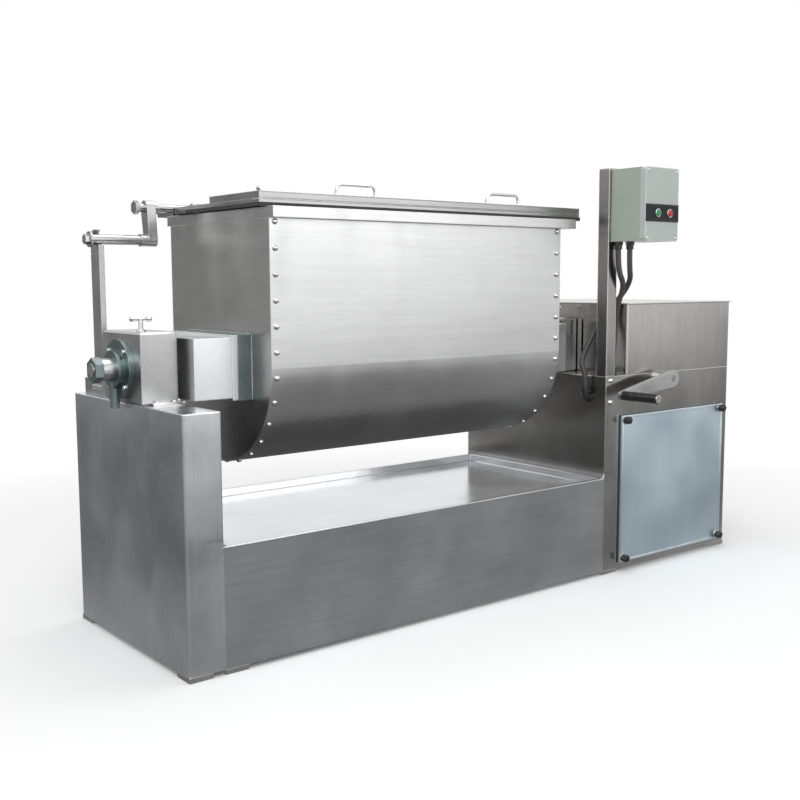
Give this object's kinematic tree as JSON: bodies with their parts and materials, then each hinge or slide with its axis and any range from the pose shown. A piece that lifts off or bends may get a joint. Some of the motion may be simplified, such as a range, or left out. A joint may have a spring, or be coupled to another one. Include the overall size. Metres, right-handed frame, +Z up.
{
  "type": "dough mixer",
  "caption": "Tilting trough dough mixer: stainless trough on trunnions over a drip tray, with a hinged lid and feed flap, paddle shaft, tilt crank and control box.",
  "frame": {"origin": "centre of the underside of the front left foot, on the floor", "axes": "+X along the machine towards the drive pedestal, +Y to the back, +Z up"},
  "size_m": [2.078, 0.807, 1.213],
  "materials": {
    "stainless": "brushed",
    "machined_steel": "machined",
    "chrome": "polished",
    "bronze": "machined",
    "cast_iron": "cast",
    "painted_motor": "satin paint",
    "painted_steel": "satin paint",
    "rubber": "matte",
    "conduit": "matte",
    "black_plastic": "satin",
    "box_green_grey": "satin paint",
    "box_light_grey": "satin paint",
    "button_green": "gloss",
    "button_red": "gloss"
  },
  "bodies": {
    "frame": {"left_pedestal": "stainless", "drip_tray": "stainless", "drive_pedestal": "stainless", "feet": "machined_steel", "gear_case": "stainless", "gear_case_cover": "stainless", "left_bearing_block": "stainless", "drive_bearing_block": "stainless", "left_bush": "bronze", "drive_bush": "bronze", "bearing_cover": "machined_steel", "wing_screws": "chrome", "stay_foot": "stainless", "stay_bar": "stainless", "stay_hook": "stainless", "fixing_bolts": "chrome", "access_cover": "stainless", "cover_knobs": "black_plastic", "control_post": "stainless", "control_box": "box_green_grey", "control_box_cover": "box_light_grey", "keypad_strip": "black_plastic", "cable_glands": "black_plastic", "wall_elbow": "black_plastic", "conduit_near": "conduit", "conduit_far": "conduit", "crank_bearings": "machined_steel", "main_motor": "painted_motor", "motor_shelf": "painted_steel", "drive_belt": "rubber"},
    "tank": {"trough": "stainless", "left_end_plate": "stainless", "drive_end_plate": "stainless", "tank_rim": "stainless", "left_trunnion_box": "stainless", "drive_trunnion_box": "stainless", "left_journal": "machined_steel", "drive_journal": "machined_steel", "hinge_lugs": "machined_steel", "back_cover_strip": "stainless", "worm_wheel": "bronze"},
    "lid": {"lid_panel": "stainless", "lid_knuckles": "machined_steel", "lid_shaft": "machined_steel", "lid_arm": "machined_steel", "rest_rod": "machined_steel", "flap_hinge_leaves": "machined_steel"},
    "flap": {"feed_flap": "stainless", "flap_handles": "chrome"},
    "mixer": {"mixing_shaft": "machined_steel", "shaft_nut": "machined_steel", "paddles": "machined_steel", "shaft_pulley": "cast_iron"},
    "motor_rotor": {"motor_shaft": "machined_steel", "motor_pulley": "cast_iron"},
    "crank": {"crank_shaft": "machined_steel", "crank_arm": "machined_steel"},
    "grip": {"crank_grip": "black_plastic"},
    "start": {"start_button": "button_green"},
    "stop": {"stop_button": "button_red"}
  },
  "joints": [
    {"name": "tank_tilt", "type": "hinge", "parent": "frame", "child": "tank", "pos_m": [0.23, 0.273, 0.685], "axis": [1, 0, 0], "range_deg": [0, 105]},
    {"name": "lid_open", "type": "hinge", "parent": "tank", "child": "lid", "pos_m": [0.67, 0.487, 1.08], "axis": [1, 0, 0], "range_deg": [-100, 0]},
    {"name": "flap_open", "type": "hinge", "parent": "lid", "child": "flap", "pos_m": [0.67, 0.295, 1.091], "axis": [1, 0, 0], "range_deg": [-110, 0]},
    {"name": "mixer_spin", "type": "hinge", "parent": "frame", "child": "mixer", "pos_m": [0.67, 0.273, 0.685], "axis": [1, 0, 0], "continuous": true},
    {"name": "motor_spin", "type": "hinge", "parent": "frame", "child": "motor_rotor", "pos_m": [1.73, 0.273, 0.3], "axis": [1, 0, 0], "continuous": true},
    {"name": "crank_turn", "type": "hinge", "parent": "frame", "child": "crank", "pos_m": [1.61, -0.03, 0.587], "axis": [0, 1, 0], "range_deg": [0, 3150]},
    {"name": "grip_spin", "type": "hinge", "parent": "crank", "child": "grip", "pos_m": [1.3748, -0.13, 0.55059], "axis": [0, 1, 0], "continuous": true},
    {"name": "start_press", "type": "slide", "parent": "frame", "child": "start", "axis": [0, 1, 0], "range_m": [0, 0.003], "stiffness_N_per_m": 400, "springref_m": -0.002},
    {"name": "stop_press", "type": "slide", "parent": "frame", "child": "stop", "axis": [0, 1, 0], "range_m": [0, 0.003], "stiffness_N_per_m": 400, "springref_m": -0.002}
  ],
  "couplings": [
    {"joint": "crank_turn", "follows": "tank_tilt", "ratio": 30},
    {"joint": "motor_spin", "follows": "mixer_spin", "ratio": 2}
  ]
}
